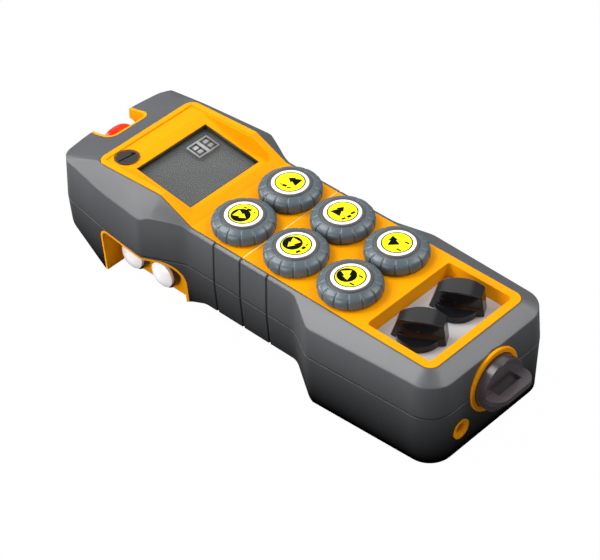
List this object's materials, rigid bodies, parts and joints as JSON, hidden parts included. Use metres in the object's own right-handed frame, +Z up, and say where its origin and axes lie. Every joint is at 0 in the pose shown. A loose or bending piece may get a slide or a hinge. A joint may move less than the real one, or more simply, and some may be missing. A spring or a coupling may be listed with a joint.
{
  "type": "industrial radio remote control",
  "caption": "Handheld radio remote control for machinery: long casing with gripping waist, booted push-buttons, display, rotary selectors, stop button and key.",
  "frame": {"origin": "under the middle of the whole length, on the surface the control lies on", "axes": "+Y to the head with the stop button, -Y to the tail with the key, +Z up through the push-buttons"},
  "size_m": [0.0808, 0.2354, 0.0534],
  "materials": {
    "grey_casing": "fine-grained soft-touch plastic",
    "seal_rubber": "matte",
    "yellow_plastic": "satin moulded plastic",
    "plate_grey": "satin",
    "display_glass": "clear polycarbonate",
    "display_grey": "matte",
    "switch_black": "matte",
    "collar_black": "satin",
    "board_green": "solder mask",
    "shield_metal": "tinned",
    "battery_wrap": "film wrap",
    "screw_steel": "zinc-plated",
    "plug_dark": "satin",
    "stop_red": "moulded plastic",
    "key_black": "satin",
    "boot_rubber": "moulded silicone",
    "spring_steel": "drawn steel",
    "legend_white": "moulded plastic",
    "cap_white": "moulded plastic",
    "knob_black": "satin moulded plastic"
  },
  "bodies": {
    "casing": {"upper_shell": "grey_casing", "lower_shell": "grey_casing", "case_seal": "seal_rubber", "side_recess_liner": "yellow_plastic", "stop_guard": "yellow_plastic", "front_panel": "yellow_plastic", "pocket_plate": "plate_grey", "display_window": "display_glass", "display_module": "display_grey", "button_boot_1": "boot_rubber", "button_boot_2": "boot_rubber", "button_boot_3": "boot_rubber", "button_boot_4": "boot_rubber", "button_boot_5": "boot_rubber", "button_boot_6": "boot_rubber", "button_spring_1": "spring_steel", "button_spring_2": "spring_steel", "button_spring_3": "spring_steel", "button_spring_4": "spring_steel", "button_spring_5": "spring_steel", "button_spring_6": "spring_steel", "button_switches": "switch_black", "selector_switches": "switch_black", "stop_contact_block": "switch_black", "side_collars": "collar_black", "side_switches": "switch_black", "key_switch": "switch_black", "key_surround": "yellow_plastic", "tail_bush": "yellow_plastic", "main_board": "board_green", "radio_module": "shield_metal", "antenna": "switch_black", "battery_pack": "battery_wrap", "battery_contacts": "switch_black", "battery_door": "grey_casing", "door_screws": "screw_steel", "case_screws": "screw_steel"},
    "button_1": {"button_plunger_1": "legend_white"},
    "button_2": {"button_plunger_2": "legend_white"},
    "button_3": {"button_plunger_3": "legend_white"},
    "button_4": {"button_plunger_4": "legend_white"},
    "button_5": {"button_plunger_5": "legend_white"},
    "button_6": {"button_plunger_6": "legend_white"},
    "selector_left": {"selector_knob_left": "knob_black", "selector_shaft_left": "spring_steel"},
    "selector_right": {"selector_knob_right": "knob_black", "selector_shaft_right": "spring_steel"},
    "stop_button": {"stop_head": "stop_red", "stop_stem": "switch_black"},
    "side_1": {"side_button_1": "cap_white"},
    "side_2": {"side_button_2": "cap_white"},
    "rotor": {"key_rotor": "switch_black"},
    "key": {"key": "key_black"},
    "plug": {"slotted_plug": "plug_dark"}
  },
  "joints": [
    {"name": "button_press_1", "type": "slide", "parent": "casing", "child": "button_1", "axis": [0, 0, -1], "range_m": [0, 0.0034], "stiffness_N_per_m": 900, "springref_m": -0.0015, "deforming": ["button_spring_1", "button_boot_1"]},
    {"name": "button_press_2", "type": "slide", "parent": "casing", "child": "button_2", "axis": [0, 0, -1], "range_m": [0, 0.0034], "stiffness_N_per_m": 900, "springref_m": -0.0015, "deforming": ["button_spring_2", "button_boot_2"]},
    {"name": "button_press_3", "type": "slide", "parent": "casing", "child": "button_3", "axis": [0, 0, -1], "range_m": [0, 0.0034], "stiffness_N_per_m": 900, "springref_m": -0.0015, "deforming": ["button_spring_3", "button_boot_3"]},
    {"name": "button_press_4", "type": "slide", "parent": "casing", "child": "button_4", "axis": [0, 0, -1], "range_m": [0, 0.0034], "stiffness_N_per_m": 900, "springref_m": -0.0015, "deforming": ["button_spring_4", "button_boot_4"]},
    {"name": "button_press_5", "type": "slide", "parent": "casing", "child": "button_5", "axis": [0, 0, -1], "range_m": [0, 0.0034], "stiffness_N_per_m": 900, "springref_m": -0.0015, "deforming": ["button_spring_5", "button_boot_5"]},
    {"name": "button_press_6", "type": "slide", "parent": "casing", "child": "button_6", "axis": [0, 0, -1], "range_m": [0, 0.0034], "stiffness_N_per_m": 900, "springref_m": -0.0015, "deforming": ["button_spring_6", "button_boot_6"]},
    {"name": "selector_turn_left", "type": "hinge", "parent": "casing", "child": "selector_left", "pos_m": [-0.0116, -0.0759, 0.0388], "axis": [0, 0, 1], "range_deg": [-60, 0]},
    {"name": "selector_turn_right", "type": "hinge", "parent": "casing", "child": "selector_right", "pos_m": [0.0116, -0.0759, 0.0388], "axis": [0, 0, 1], "range_deg": [-60, 0]},
    {"name": "stop_press", "type": "slide", "parent": "casing", "child": "stop_button", "axis": [0, -1, 0], "range_m": [0, 0.0035]},
    {"name": "side_press_1", "type": "slide", "parent": "casing", "child": "side_1", "axis": [1, 0, 0], "range_m": [0, 0.0015], "stiffness_N_per_m": 1200, "springref_m": -0.001},
    {"name": "side_press_2", "type": "slide", "parent": "casing", "child": "side_2", "axis": [1, 0, 0], "range_m": [0, 0.0015], "stiffness_N_per_m": 1200, "springref_m": -0.001},
    {"name": "key_turn", "type": "hinge", "parent": "casing", "child": "rotor", "pos_m": [0, -0.1, 0.026], "axis": [0, 1, 0], "range_deg": [0, 90]},
    {"name": "key_pull", "type": "slide", "parent": "rotor", "child": "key", "axis": [0, -1, 0], "range_m": [0, 0.012]},
    {"name": "plug_turn", "type": "hinge", "parent": "casing", "child": "plug", "pos_m": [-0.0185, 0.0841, 0.05109], "axis": [0, 0.0574, 0.9984], "range_deg": [0, 90]}
  ]
}
